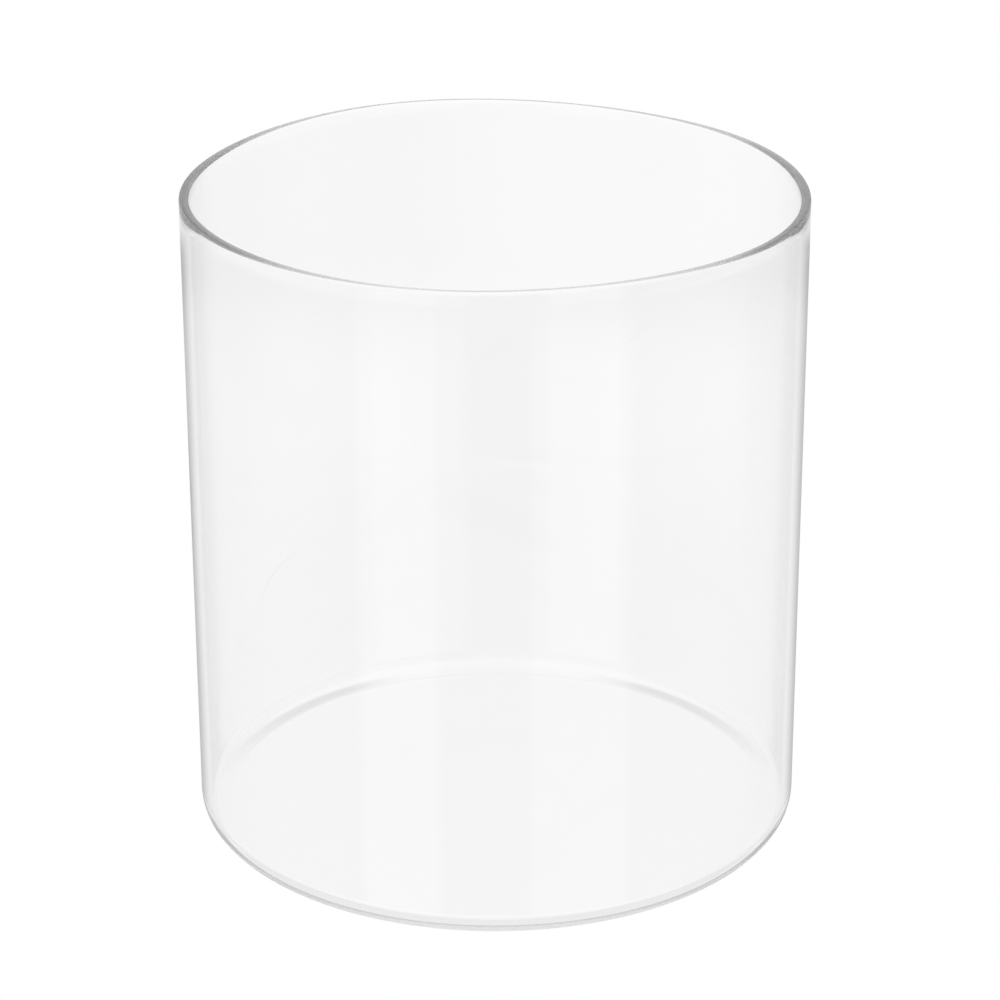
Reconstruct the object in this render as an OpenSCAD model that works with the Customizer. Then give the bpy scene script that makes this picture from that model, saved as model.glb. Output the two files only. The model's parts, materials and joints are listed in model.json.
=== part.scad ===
// Tall crystallizing dish: one piece of clear glass, a body of revolution about Z.
// Millimetres. The origin is at the centre of the flat base, +Z up.

/* [Body] */
// Outside diameter
outer_d = 140; // [80:1:190]
// Overall height, from the base to the rim
height = 151.6; // [40:0.1:250]
// Thickness of the side wall
wall = 2.2; // [2:0.1:4]
// Thickness of the flat floor
floor_t = 2.4; // [1.5:0.1:6]

/* [Edges] */
// Outside radius where the wall turns into the base
base_r = 5.6; // [4.5:0.1:12]
// Radius that the flame leaves on both edges of the cut rim
rim_r = 0.9; // [0.2:0.05:0.95]

/* [Hidden] */
outer_r = outer_d / 2;
inner_r = outer_r - wall;
// The inside fillet follows the outside corner, so the glass keeps its thickness round the bend.
fillet_r = base_r - wall;
// How far a cutter reaches past the face that it opens.
reach = 1;
$fn = 256;

// What a round of radius r takes off a square corner that stands at the origin and fills +X +Y.
// It reaches a little past both faces.
module corner_waste(r) {
    difference() {
        translate([-reach, -reach]) square(r + reach);
        translate([r, r]) circle(r);
    }
}

// What a fillet of radius r adds inside a corner at the origin that opens towards +X +Y.
// It is sunk into both faces by half the thinner one.
module corner_fill(r) {
    sink = min(wall, floor_t) / 2;
    difference() {
        translate([-sink, -sink]) square(r + sink);
        translate([r, r]) circle(r);
    }
}

// The glass to the right of the axis, in the plane of X and Z.
module half_section() {
    difference() {
        square([outer_r, height]);
        // Inside of the dish
        translate([-reach, floor_t]) square([inner_r + reach, height]);
        // Rounded corner of the base
        translate([outer_r, 0]) mirror([1, 0]) corner_waste(base_r);
        // Outer edge of the rim
        translate([outer_r, height]) rotate(180) corner_waste(rim_r);
        // Inner edge of the rim
        translate([inner_r, height]) mirror([0, 1]) corner_waste(rim_r);
    }
    // Inside fillet between the floor and the wall
    translate([inner_r, floor_t]) mirror([1, 0]) corner_fill(fillet_r);
}

module dish() {
    color([0.93, 0.95, 0.95, 0.35]) rotate_extrude() half_section();
}

dish();
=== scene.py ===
"""A tall crystallizing dish of clear glass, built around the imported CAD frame."""

import json
import math

import bmesh
import bpy
from mathutils import Matrix, Vector


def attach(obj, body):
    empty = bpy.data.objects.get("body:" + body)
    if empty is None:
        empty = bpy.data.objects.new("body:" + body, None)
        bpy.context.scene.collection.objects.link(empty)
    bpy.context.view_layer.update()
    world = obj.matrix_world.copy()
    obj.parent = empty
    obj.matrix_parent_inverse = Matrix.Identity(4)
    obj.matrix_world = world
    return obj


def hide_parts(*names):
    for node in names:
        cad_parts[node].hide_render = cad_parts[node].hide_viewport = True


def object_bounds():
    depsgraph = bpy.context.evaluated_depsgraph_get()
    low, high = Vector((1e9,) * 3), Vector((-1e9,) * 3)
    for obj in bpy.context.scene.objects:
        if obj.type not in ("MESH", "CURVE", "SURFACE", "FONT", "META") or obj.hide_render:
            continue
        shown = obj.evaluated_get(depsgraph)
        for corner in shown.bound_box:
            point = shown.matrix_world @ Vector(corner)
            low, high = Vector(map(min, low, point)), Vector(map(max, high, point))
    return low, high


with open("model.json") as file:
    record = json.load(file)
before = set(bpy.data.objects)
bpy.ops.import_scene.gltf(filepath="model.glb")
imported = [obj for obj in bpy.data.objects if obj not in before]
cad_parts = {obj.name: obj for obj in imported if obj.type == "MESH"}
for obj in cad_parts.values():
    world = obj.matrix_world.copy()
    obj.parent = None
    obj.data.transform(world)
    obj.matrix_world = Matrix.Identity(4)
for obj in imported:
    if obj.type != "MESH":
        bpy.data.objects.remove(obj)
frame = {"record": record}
cad_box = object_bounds()
mounts = {mount["name"]: mount for mount in frame["record"]["mounts"]}

# ---------------------------------------------------------------- the dish's sizes, in metres

MM = 0.001
HEIGHT = cad_box[1].z
OUTER_R = mounts["outer_wall"]["dims"]["r_mm"] * MM
INNER_R = mounts["mouth"]["dims"]["r_mm"] * MM
WALL = OUTER_R - INNER_R
RIM_R = HEIGHT - mounts["mouth"]["pos_m"][2]
BASE_R = HEIGHT - RIM_R - mounts["outer_wall"]["dims"]["length_mm"] * MM
FILLET_R = BASE_R - WALL
FLOOR_T = HEIGHT - RIM_R - mounts["mouth"]["dims"]["length_mm"] * MM - FILLET_R

# The rim isn't quite level. Each wave is its number round the rim, its height and the angle of its peak.
RIM_WAVES = ((1, 0.30 * MM, 170), (2, 0.20 * MM, -155), (3, 0.10 * MM, -55), (4, 0.25 * MM, 100))
RIM_WAVE_TOP = 0.682 * MM
RIM_MEAN = HEIGHT - RIM_WAVE_TOP
WAVE_DEPTH = 40 * MM

# How finely the mesh is cut: round the dish, and along each stretch of its outline.
SEGMENTS = 256
CORNER_STEPS = 24
RIM_STEPS = 8
FILLET_STEPS = 20
WALL_STEPS = 48
TOP_STEPS = 4

# A disc is a bowed square grid in the middle, with rings round it that get closer together outwards.
GRID_SHARE = 0.5
GRID_BOW = 0.18
DISC_RINGS = 14
RING_CROWDING = 1.6


# ---------------------------------------------------------------- mesh

def arc(centre, radius, start, end, steps):
    """Points of a round, from start to end in degrees, as (r, z)."""
    turns = [math.radians(start + (end - start) * i / steps) for i in range(steps + 1)]
    return [(centre[0] + radius * math.cos(t), centre[1] + radius * math.sin(t)) for t in turns]


def run(start, end, steps):
    """Points strictly between two ends of a straight stretch, as (r, z)."""
    shares = [i / steps for i in range(1, steps)]
    return [(start[0] + (end[0] - start[0]) * s, start[1] + (end[1] - start[1]) * s) for s in shares]


def half_section():
    """The glass's outline from the edge of the flat base round to the edge of the floor, as (r, z)."""
    corner = arc((OUTER_R - BASE_R, BASE_R), BASE_R, -90, 0, CORNER_STEPS)
    rim_out = arc((OUTER_R - RIM_R, HEIGHT - RIM_R), RIM_R, 0, 90, RIM_STEPS)
    rim_in = arc((INNER_R + RIM_R, HEIGHT - RIM_R), RIM_R, 90, 180, RIM_STEPS)
    fillet = arc((INNER_R - FILLET_R, FLOOR_T + FILLET_R), FILLET_R, 0, -90, FILLET_STEPS)
    outside = run(corner[-1], rim_out[0], WALL_STEPS)
    top = run(rim_out[-1], rim_in[0], TOP_STEPS)
    inside = run(rim_in[-1], fillet[0], WALL_STEPS)
    return corner + outside + rim_out + top + rim_in + inside + fillet


def rim_lift(turn, z):
    """How far the wavy rim moves a point up or down, fading out down the wall."""
    wave = sum(height * math.cos(count * turn - math.radians(peak)) for count, height, peak in RIM_WAVES)
    share = max(0.0, 1 - (HEIGHT - z) / WAVE_DEPTH)
    return (wave - RIM_WAVE_TOP) * share * share * (3 - 2 * share)


def add_ring(bm, r, z):
    """A ring of vertices round the axis, lifted with the rim."""
    turns = [2 * math.pi * i / SEGMENTS for i in range(SEGMENTS)]
    return [bm.verts.new((r * math.cos(t), r * math.sin(t), z + rim_lift(t, z))) for t in turns]


def bridge(bm, low, high):
    """A band of four-sided faces between two rings."""
    for i in range(len(low)):
        j = (i + 1) % len(low)
        bm.faces.new((low[i], low[j], high[j], high[i]))


def add_disc(bm, edge, z, up):
    """Closes a ring with rings that turn into a square grid, so that the disc is all four-sided faces."""
    side = SEGMENTS // 4
    half = GRID_SHARE * edge[0].co.xy.length
    grid = {}
    for i in range(side + 1):
        for j in range(side + 1):
            x, y = 2 * i / side - 1, 2 * j / side - 1
            bow = 1 - GRID_BOW * (x * x + y * y - 1)
            grid[i, j] = bm.verts.new((half * x * bow, half * y * bow, z))
    loop = ([(side, j) for j in range(side // 2, side)] + [(i, side) for i in range(side, 0, -1)]
            + [(0, j) for j in range(side, 0, -1)] + [(i, 0) for i in range(side)]
            + [(side, j) for j in range(side // 2)])
    inner = [grid[key] for key in loop]
    rings = [edge]
    for k in range(1, DISC_RINGS):
        share = (k / DISC_RINGS) ** RING_CROWDING
        rings.append([bm.verts.new(a.co.lerp(b.co, share)) for a, b in zip(edge, inner)])
    rings.append(inner)
    for low, high in zip(rings, rings[1:]):
        bridge(bm, low, high) if up else bridge(bm, high, low)
    for i in range(side):
        for j in range(side):
            quad = (grid[i, j], grid[i + 1, j], grid[i + 1, j + 1], grid[i, j + 1])
            bm.faces.new(quad if up else quad[::-1])


def build_dish():
    bm = bmesh.new()
    rings = [add_ring(bm, r, z) for r, z in half_section()]
    for low, high in zip(rings, rings[1:]):
        bridge(bm, low, high)
    add_disc(bm, rings[0], 0.0, up=False)
    add_disc(bm, rings[-1], FLOOR_T, up=True)
    mesh = bpy.data.meshes.new("dish_glass")
    bm.to_mesh(mesh)
    bm.free()
    mesh.shade_smooth()
    dish = bpy.data.objects.new("dish_glass", mesh)
    bpy.context.scene.collection.objects.link(dish)
    return dish


# ---------------------------------------------------------------- material

GLASS_IOR = 1.47
WAVE_LENGTH = 32 * MM
WAVE_STRETCH = (1, 1, 0.3)
WAVINESS = 0.06 * MM
PEEL_LENGTH = 4 * MM
PEEL_SHARE = 0.02
HAZE_LENGTH = 70 * MM
HAZE_STRETCH = (1, 1, 2.2)
HAZE_DETAIL = 4
HAZE_SWIRL = 1.4
HAZE_FROM, HAZE_FULL = 0.54, 0.74
HAZE_ROUGHNESS = 0.03
SPECK_SPACING = 17 * MM
SPECK_R = 0.4 * MM
SOFT_EDGE = 0.3
MARK_ROUGHNESS = 0.25
CLEAN = (0.998, 0.998, 0.998, 1)
HAZY = (0.988, 0.988, 0.988, 1)
MARKED = (0.91, 0.91, 0.91, 1)
INSIDE_TINT = (0.91, 0.91, 0.91, 1)
INSIDE_DENSITY = 3.0
# Each scratch is an arc on the outside of the wall, given by where its middle is. Angles are in degrees.
SCRATCHES = (
    dict(angle=-134, height=79 * MM, radius=40 * MM, tilt=-35, half_width=0.15 * MM),
    dict(angle=62, height=92 * MM, radius=28 * MM, tilt=50, half_width=0.10 * MM),
)


def math_node(tree, operation, *values):
    """The output of a Math node; each value is a number or another node's output."""
    node = tree.nodes.new("ShaderNodeMath")
    node.operation = operation
    for socket, value in zip(node.inputs, values):
        if isinstance(value, (int, float)):
            socket.default_value = value
        else:
            tree.links.new(value, socket)
    return node.outputs[0]


def ease(tree, value, start, end):
    """0 at start, 1 at end, smooth between them."""
    node = tree.nodes.new("ShaderNodeMapRange")
    node.interpolation_type = "SMOOTHSTEP"
    node.inputs["From Min"].default_value = start
    node.inputs["From Max"].default_value = end
    tree.links.new(value, node.inputs["Value"])
    return node.outputs["Result"]


def position(tree, output="Object"):
    """A texture coordinate, and its x, y and z."""
    coords = tree.nodes.new("ShaderNodeTexCoord")
    split = tree.nodes.new("ShaderNodeSeparateXYZ")
    tree.links.new(coords.outputs[output], split.inputs[0])
    return coords.outputs[output], split.outputs[0], split.outputs[1], split.outputs[2]


def stretched(tree, place, scale):
    """A texture coordinate, scaled along each axis."""
    node = tree.nodes.new("ShaderNodeVectorMath")
    node.operation = "MULTIPLY"
    node.inputs[1].default_value = scale
    tree.links.new(place, node.inputs[0])
    return node.outputs[0]


def noise(tree, place, length, detail=0.0, distortion=0.0):
    """Cloudy noise with blotches of about this length."""
    node = tree.nodes.new("ShaderNodeTexNoise")
    node.inputs["Scale"].default_value = 1 / length
    node.inputs["Detail"].default_value = detail
    node.inputs["Distortion"].default_value = distortion
    tree.links.new(place, node.inputs["Vector"])
    return node.outputs["Fac"]


def specks(tree, place):
    """Sparse dust specks, 1 in the middle of each."""
    cells = tree.nodes.new("ShaderNodeTexVoronoi")
    cells.inputs["Scale"].default_value = 1 / SPECK_SPACING
    tree.links.new(place, cells.inputs["Vector"])
    edge = SPECK_R / SPECK_SPACING
    return ease(tree, cells.outputs["Distance"], edge, SOFT_EDGE * edge)


def reach_of(tree, x, y):
    """Distance from the dish's axis."""
    return math_node(tree, "SQRT", math_node(tree, "MULTIPLY_ADD", x, x, math_node(tree, "MULTIPLY", y, y)))


def scratch(tree, x, y, z, mark):
    """One fine arc scratched into the outside of the wall, strongest in its middle."""
    turn = math_node(tree, "SUBTRACT", math_node(tree, "ARCTAN2", y, x), math.radians(mark["angle"]))
    across = math_node(tree, "MULTIPLY", math_node(tree, "WRAP", turn, math.pi, -math.pi), OUTER_R)
    up = math_node(tree, "SUBTRACT", z, mark["height"])
    lean, stand = math.sin(math.radians(mark["tilt"])), math.cos(math.radians(mark["tilt"]))
    level = math_node(tree, "MULTIPLY_ADD", across, stand, math_node(tree, "MULTIPLY", up, lean))
    along = math_node(tree, "MULTIPLY_ADD", across, -lean, math_node(tree, "MULTIPLY", up, stand))
    from_centre = math_node(tree, "SUBTRACT", level, mark["radius"])
    distance = math_node(tree, "SQRT", math_node(
        tree, "MULTIPLY_ADD", from_centre, from_centre, math_node(tree, "MULTIPLY", along, along)))
    off_line = math_node(tree, "ABSOLUTE", math_node(tree, "SUBTRACT", distance, mark["radius"]))
    line = ease(tree, off_line, mark["half_width"], SOFT_EDGE * mark["half_width"])
    half_length = mark["radius"] / 2
    middle = ease(tree, math_node(tree, "ABSOLUTE", along), half_length, 0)
    near = math_node(tree, "LESS_THAN", level, half_length)
    outside = math_node(tree, "GREATER_THAN", reach_of(tree, x, y), OUTER_R - WALL / 2)
    return math_node(tree, "MULTIPLY", math_node(tree, "MULTIPLY", line, middle),
                     math_node(tree, "MULTIPLY", near, outside))


def mix_colour(tree, share, first, second):
    """The first colour where the share is 0, the second where it is 1."""
    node = tree.nodes.new("ShaderNodeMix")
    node.data_type = "RGBA"
    tree.links.new(share, node.inputs["Factor"])
    for socket, value in ((node.inputs["A"], first), (node.inputs["B"], second)):
        if isinstance(value, tuple):
            socket.default_value = value
        else:
            tree.links.new(value, socket)
    return node.outputs["Result"]


def clear_glass():
    """Clear glass with slow waves, a faint orange peel, wiped haze, fine scratches and dust specks."""
    material = bpy.data.materials.new("clear_glass")
    material.use_nodes = True
    tree = material.node_tree
    shader = tree.nodes["Principled BSDF"]
    shader.inputs["Transmission Weight"].default_value = 1.0
    shader.inputs["IOR"].default_value = GLASS_IOR
    place, x, y, z = position(tree)

    clouds = noise(tree, stretched(tree, place, HAZE_STRETCH), HAZE_LENGTH, HAZE_DETAIL, HAZE_SWIRL)
    haze = ease(tree, clouds, HAZE_FROM, HAZE_FULL)
    marks = specks(tree, place)
    for mark in SCRATCHES:
        marks = math_node(tree, "MAXIMUM", scratch(tree, x, y, z, mark), marks)
    tint = mix_colour(tree, haze, CLEAN, HAZY)
    tree.links.new(mix_colour(tree, marks, tint, MARKED), shader.inputs["Base Color"])
    worn = math_node(tree, "MAXIMUM", math_node(tree, "MULTIPLY", haze, HAZE_ROUGHNESS),
                     math_node(tree, "MULTIPLY", marks, MARK_ROUGHNESS))
    tree.links.new(worn, shader.inputs["Roughness"])

    waves = noise(tree, stretched(tree, place, WAVE_STRETCH), WAVE_LENGTH)
    surface = tree.nodes.new("ShaderNodeBump")
    surface.inputs["Distance"].default_value = WAVINESS
    tree.links.new(math_node(tree, "MULTIPLY_ADD", noise(tree, place, PEEL_LENGTH), PEEL_SHARE, waves),
                   surface.inputs["Height"])
    tree.links.new(surface.outputs["Normal"], shader.inputs["Normal"])

    inside = tree.nodes.new("ShaderNodeVolumeAbsorption")
    inside.inputs["Color"].default_value = INSIDE_TINT
    inside.inputs["Density"].default_value = INSIDE_DENSITY
    tree.links.new(inside.outputs[0], tree.nodes["Material Output"].inputs["Volume"])
    return material


# ---------------------------------------------------------------- stage

WHITE = (1, 1, 1, 1)

# What the glass mirrors, in degrees: azimuth 0 is straight behind the dish, 90 is to its right, and
# elevation 0 is level. Each light spans half_width to each side of its azimuth, and low to high, with soft
# edges as wide as side_fade and fade. Its level is added to the room's; a dark panel's level is negative.
ROOM_LEVEL = 0.43
LIGHTS = (
    dict(azimuth=0, half_width=80, side_fade=110, low=-36, high=6, fade=8, level=0.45),
    dict(azimuth=0, half_width=27, side_fade=24, low=6, high=40, fade=8, level=0.43),
    dict(azimuth=0, half_width=181, side_fade=1, low=40, high=91, fade=8, level=0.41),
    dict(azimuth=0, half_width=22, side_fade=20, low=-33, high=-18.4, fade=0.5, level=-0.34),
    dict(azimuth=0, half_width=22, side_fade=20, low=-12, high=5, fade=4, level=-0.34),
    dict(azimuth=0, half_width=181, side_fade=1, low=-91, high=-35, fade=5, level=0.42),
    dict(azimuth=180, half_width=50, side_fade=90, low=-33, high=-6, fade=8, level=-0.14),
    dict(azimuth=0, half_width=181, side_fade=1, low=-19.4, high=-5, fade=1, level=-0.07),
    dict(azimuth=-143, half_width=15, side_fade=5, low=-32, high=-19.6, fade=2.4, level=0.36),
    dict(azimuth=148, half_width=19, side_fade=5, low=-32, high=-19.6, fade=2.4, level=0.31),
    dict(azimuth=108, half_width=30, side_fade=30, low=-22.5, high=-19.5, fade=2, level=0.20),
    dict(azimuth=110, half_width=55, side_fade=50, low=-20, high=-5, fade=2, level=-0.34),
)


def light_share(tree, azimuth, elevation, light):
    """How much of one light is seen in a direction, from 0 to 1."""
    turn = math_node(tree, "WRAP", math_node(tree, "SUBTRACT", azimuth, light["azimuth"]), 180, -180)
    side = math_node(tree, "ABSOLUTE", turn)
    blur, fade = light["side_fade"] / 2, light["fade"] / 2
    across = ease(tree, side, light["half_width"] + blur, light["half_width"] - blur)
    above_low = ease(tree, elevation, light["low"] - fade, light["low"] + fade)
    below_high = ease(tree, elevation, light["high"] + fade, light["high"] - fade)
    return math_node(tree, "MULTIPLY", across, math_node(tree, "MULTIPLY", above_low, below_high))


def room_brightness(tree):
    """How bright the studio is in each direction."""
    _, x, y, z = position(tree, "Generated")
    azimuth = math_node(tree, "DEGREES", math_node(tree, "ARCTAN2", x, y))
    elevation = math_node(tree, "DEGREES", math_node(tree, "ARCSINE", z))
    total = ROOM_LEVEL
    for light in LIGHTS:
        share = light_share(tree, azimuth, elevation, light)
        total = math_node(tree, "MULTIPLY_ADD", share, light["level"], total)
    return total


def mirrored(tree):
    """1 on a path that the glass has mirrored, 0 on one that is direct or only passed through."""
    path = tree.nodes.new("ShaderNodeLightPath")
    return math_node(tree, "GREATER_THAN", path.outputs["Glossy Depth"], 0.5)


def build_world():
    """A plain white surround, with the studio only where the glass mirrors it."""
    world = bpy.data.worlds.new("studio")
    bpy.context.scene.world = world
    world.use_nodes = True
    tree = world.node_tree
    tree.nodes.clear()
    white = tree.nodes.new("ShaderNodeBackground")
    white.inputs["Color"].default_value = WHITE
    studio = tree.nodes.new("ShaderNodeBackground")
    studio.inputs["Color"].default_value = WHITE
    tree.links.new(room_brightness(tree), studio.inputs["Strength"])
    mix = tree.nodes.new("ShaderNodeMixShader")
    out = tree.nodes.new("ShaderNodeOutputWorld")
    tree.links.new(mirrored(tree), mix.inputs[0])
    tree.links.new(white.outputs[0], mix.inputs[1])
    tree.links.new(studio.outputs[0], mix.inputs[2])
    tree.links.new(mix.outputs[0], out.inputs[0])


FLOOR_HALF = 6.0
FLOOR_GAP = 0.2 * MM
# How much the painted contact shadow dims the floor's glow.
PAINTED_SHADOW_DEPTH = 0.19
# A contact shadow painted into the floor's white as a dark ring under the rounded corner: where it starts,
# is full, is still full and ends, out from the axis.
# To each side it comes up and goes again, in degrees from straight behind the dish.
PAINTED_SHADOW_RING = (63 * MM, 65.5 * MM, 67 * MM, 69.5 * MM)
PAINTED_SHADOW_COMES = (18, 38)
PAINTED_SHADOW_GOES = (90, 45)


def painted_contact_shadow(tree):
    """A painted contact shadow: how much the floor's glow is dimmed under the rounded corner, most behind
    to both sides, none in front.
    """
    _, x, y, _ = position(tree)
    reach = reach_of(tree, x, y)
    start, full, still_full, end = PAINTED_SHADOW_RING
    ring = math_node(tree, "MULTIPLY", ease(tree, reach, start, full), ease(tree, reach, end, still_full))
    turn = math_node(tree, "ABSOLUTE", math_node(tree, "DEGREES", math_node(tree, "ARCTAN2", x, y)))
    side = math_node(tree, "MULTIPLY", ease(tree, turn, *PAINTED_SHADOW_COMES), ease(tree, turn, *PAINTED_SHADOW_GOES))
    return math_node(tree, "MULTIPLY", math_node(tree, "MULTIPLY", ring, side), PAINTED_SHADOW_DEPTH)


def pale_floor():
    """A floor that gives its own white glow with a painted contact shadow ring under the corner, and isn't
    there for what the glass mirrors.
    """
    material = bpy.data.materials.new("pale_floor")
    material.use_nodes = True
    tree = material.node_tree
    tree.nodes.clear()
    white = tree.nodes.new("ShaderNodeEmission")
    # The floor's white glow, dimmed by the painted contact shadow ring.
    tree.links.new(math_node(tree, "SUBTRACT", 1.0, painted_contact_shadow(tree)), white.inputs["Strength"])
    clear = tree.nodes.new("ShaderNodeBsdfTransparent")
    mix = tree.nodes.new("ShaderNodeMixShader")
    out = tree.nodes.new("ShaderNodeOutputMaterial")
    tree.links.new(mirrored(tree), mix.inputs[0])
    tree.links.new(white.outputs[0], mix.inputs[1])
    tree.links.new(clear.outputs[0], mix.inputs[2])
    tree.links.new(mix.outputs[0], out.inputs[0])
    return material


def add_floor():
    mesh = bpy.data.meshes.new("floor")
    corners = [(x * FLOOR_HALF, y * FLOOR_HALF, 0) for x, y in ((-1, -1), (1, -1), (1, 1), (-1, 1))]
    mesh.from_pydata(corners, [], [(0, 1, 2, 3)])
    mesh.materials.append(pale_floor())
    floor = bpy.data.objects.new("floor", mesh)
    floor.location.z = -FLOOR_GAP
    bpy.context.scene.collection.objects.link(floor)


LENS = 124.65
SENSOR_WIDTH = 36.0
CLIP_NEAR, CLIP_FAR = 0.05, 50.0
ELEVATION = math.radians(22.868)
DISTANCE = 11.391 * OUTER_R
YAW = math.radians(-0.068)
PITCH = math.radians(0.020)
ROLL = math.radians(0.164)


def add_camera():
    """A camera in front of the dish, looking down at its middle, with three small turns."""
    data = bpy.data.cameras.new("camera")
    data.lens = LENS
    data.sensor_width = SENSOR_WIDTH
    data.clip_start, data.clip_end = CLIP_NEAR, CLIP_FAR
    camera = bpy.data.objects.new("camera", data)
    bpy.context.scene.collection.objects.link(camera)
    bpy.context.scene.camera = camera
    away = Vector((0, -math.cos(ELEVATION), math.sin(ELEVATION)))
    forward = -away
    right = Vector((1, 0, 0))
    up = right.cross(forward)
    turn = Matrix.Rotation(YAW, 3, up)
    forward, right = turn @ forward, turn @ right
    turn = Matrix.Rotation(PITCH, 3, right)
    forward, up = turn @ forward, turn @ up
    turn = Matrix.Rotation(ROLL, 3, forward)
    right, up = turn @ right, turn @ up
    rotation = Matrix((right, up, -forward)).transposed()
    middle = Vector((0, 0, RIM_MEAN / 2))
    camera.matrix_world = Matrix.Translation(middle + away * DISTANCE) @ rotation.to_4x4()


# Light runs a long way inside the rim before it leaves it.
GLASS_BOUNCES = 256
CLEAR_BOUNCES = 32


def look_settings():
    """Plain colours, and enough bounces for thick glass."""
    scene = bpy.context.scene
    scene.view_settings.view_transform = "Standard"
    scene.cycles.max_bounces = GLASS_BOUNCES
    scene.cycles.transmission_bounces = GLASS_BOUNCES
    scene.cycles.glossy_bounces = GLASS_BOUNCES
    scene.cycles.transparent_max_bounces = CLEAR_BOUNCES


add_camera()
build_world()
add_floor()
dish = build_dish()
dish.data.materials.append(clear_glass())
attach(dish, "root")
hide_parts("dish")
look_settings()
